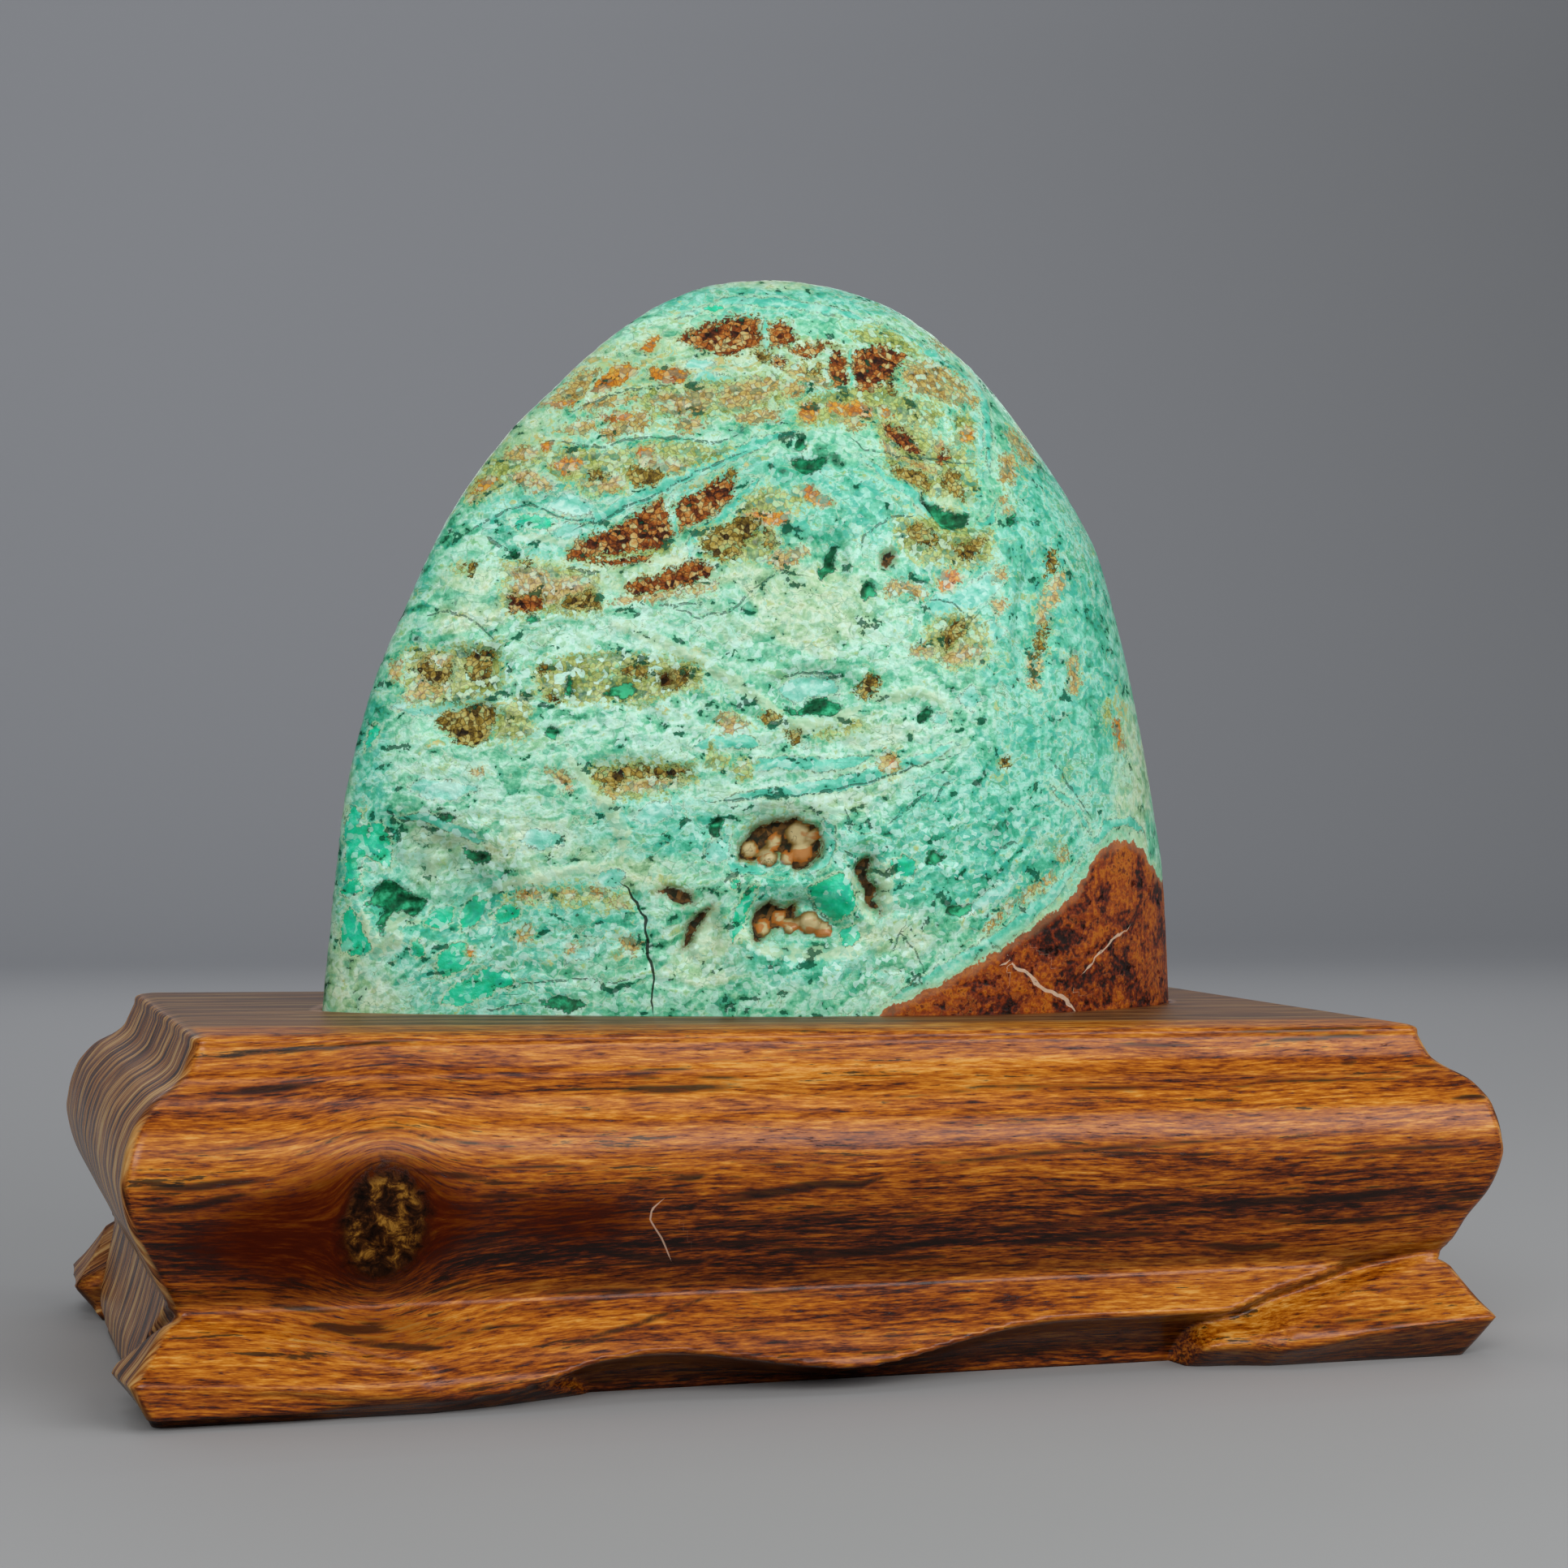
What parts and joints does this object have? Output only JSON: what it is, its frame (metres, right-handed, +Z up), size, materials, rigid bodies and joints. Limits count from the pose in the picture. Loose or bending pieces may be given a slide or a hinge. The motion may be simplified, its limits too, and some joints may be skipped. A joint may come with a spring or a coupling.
{
  "type": "stone display",
  "caption": "Polished dome-shaped smithsonite, pitted and banded in greens and browns, resting in the seat of a low moulded wooden stand with carved feet.",
  "frame": {"origin": "on the floor under the middle of the stand, at the centre of its underside", "axes": "+X to the right along the stand's long side as its front is faced, +Y from the front to the back, +Z up"},
  "size_m": [0.292, 0.1668, 0.2396],
  "materials": {
    "smithsonite_stone": "polished, glossy, with rough pits and brown matrix",
    "wooden_stand": "clear lacquer over dark-streaked grain"
  },
  "bodies": {
    "root": {"smithsonite_stone": "smithsonite_stone", "wooden_stand": "wooden_stand"}
  },
  "joints": []
}
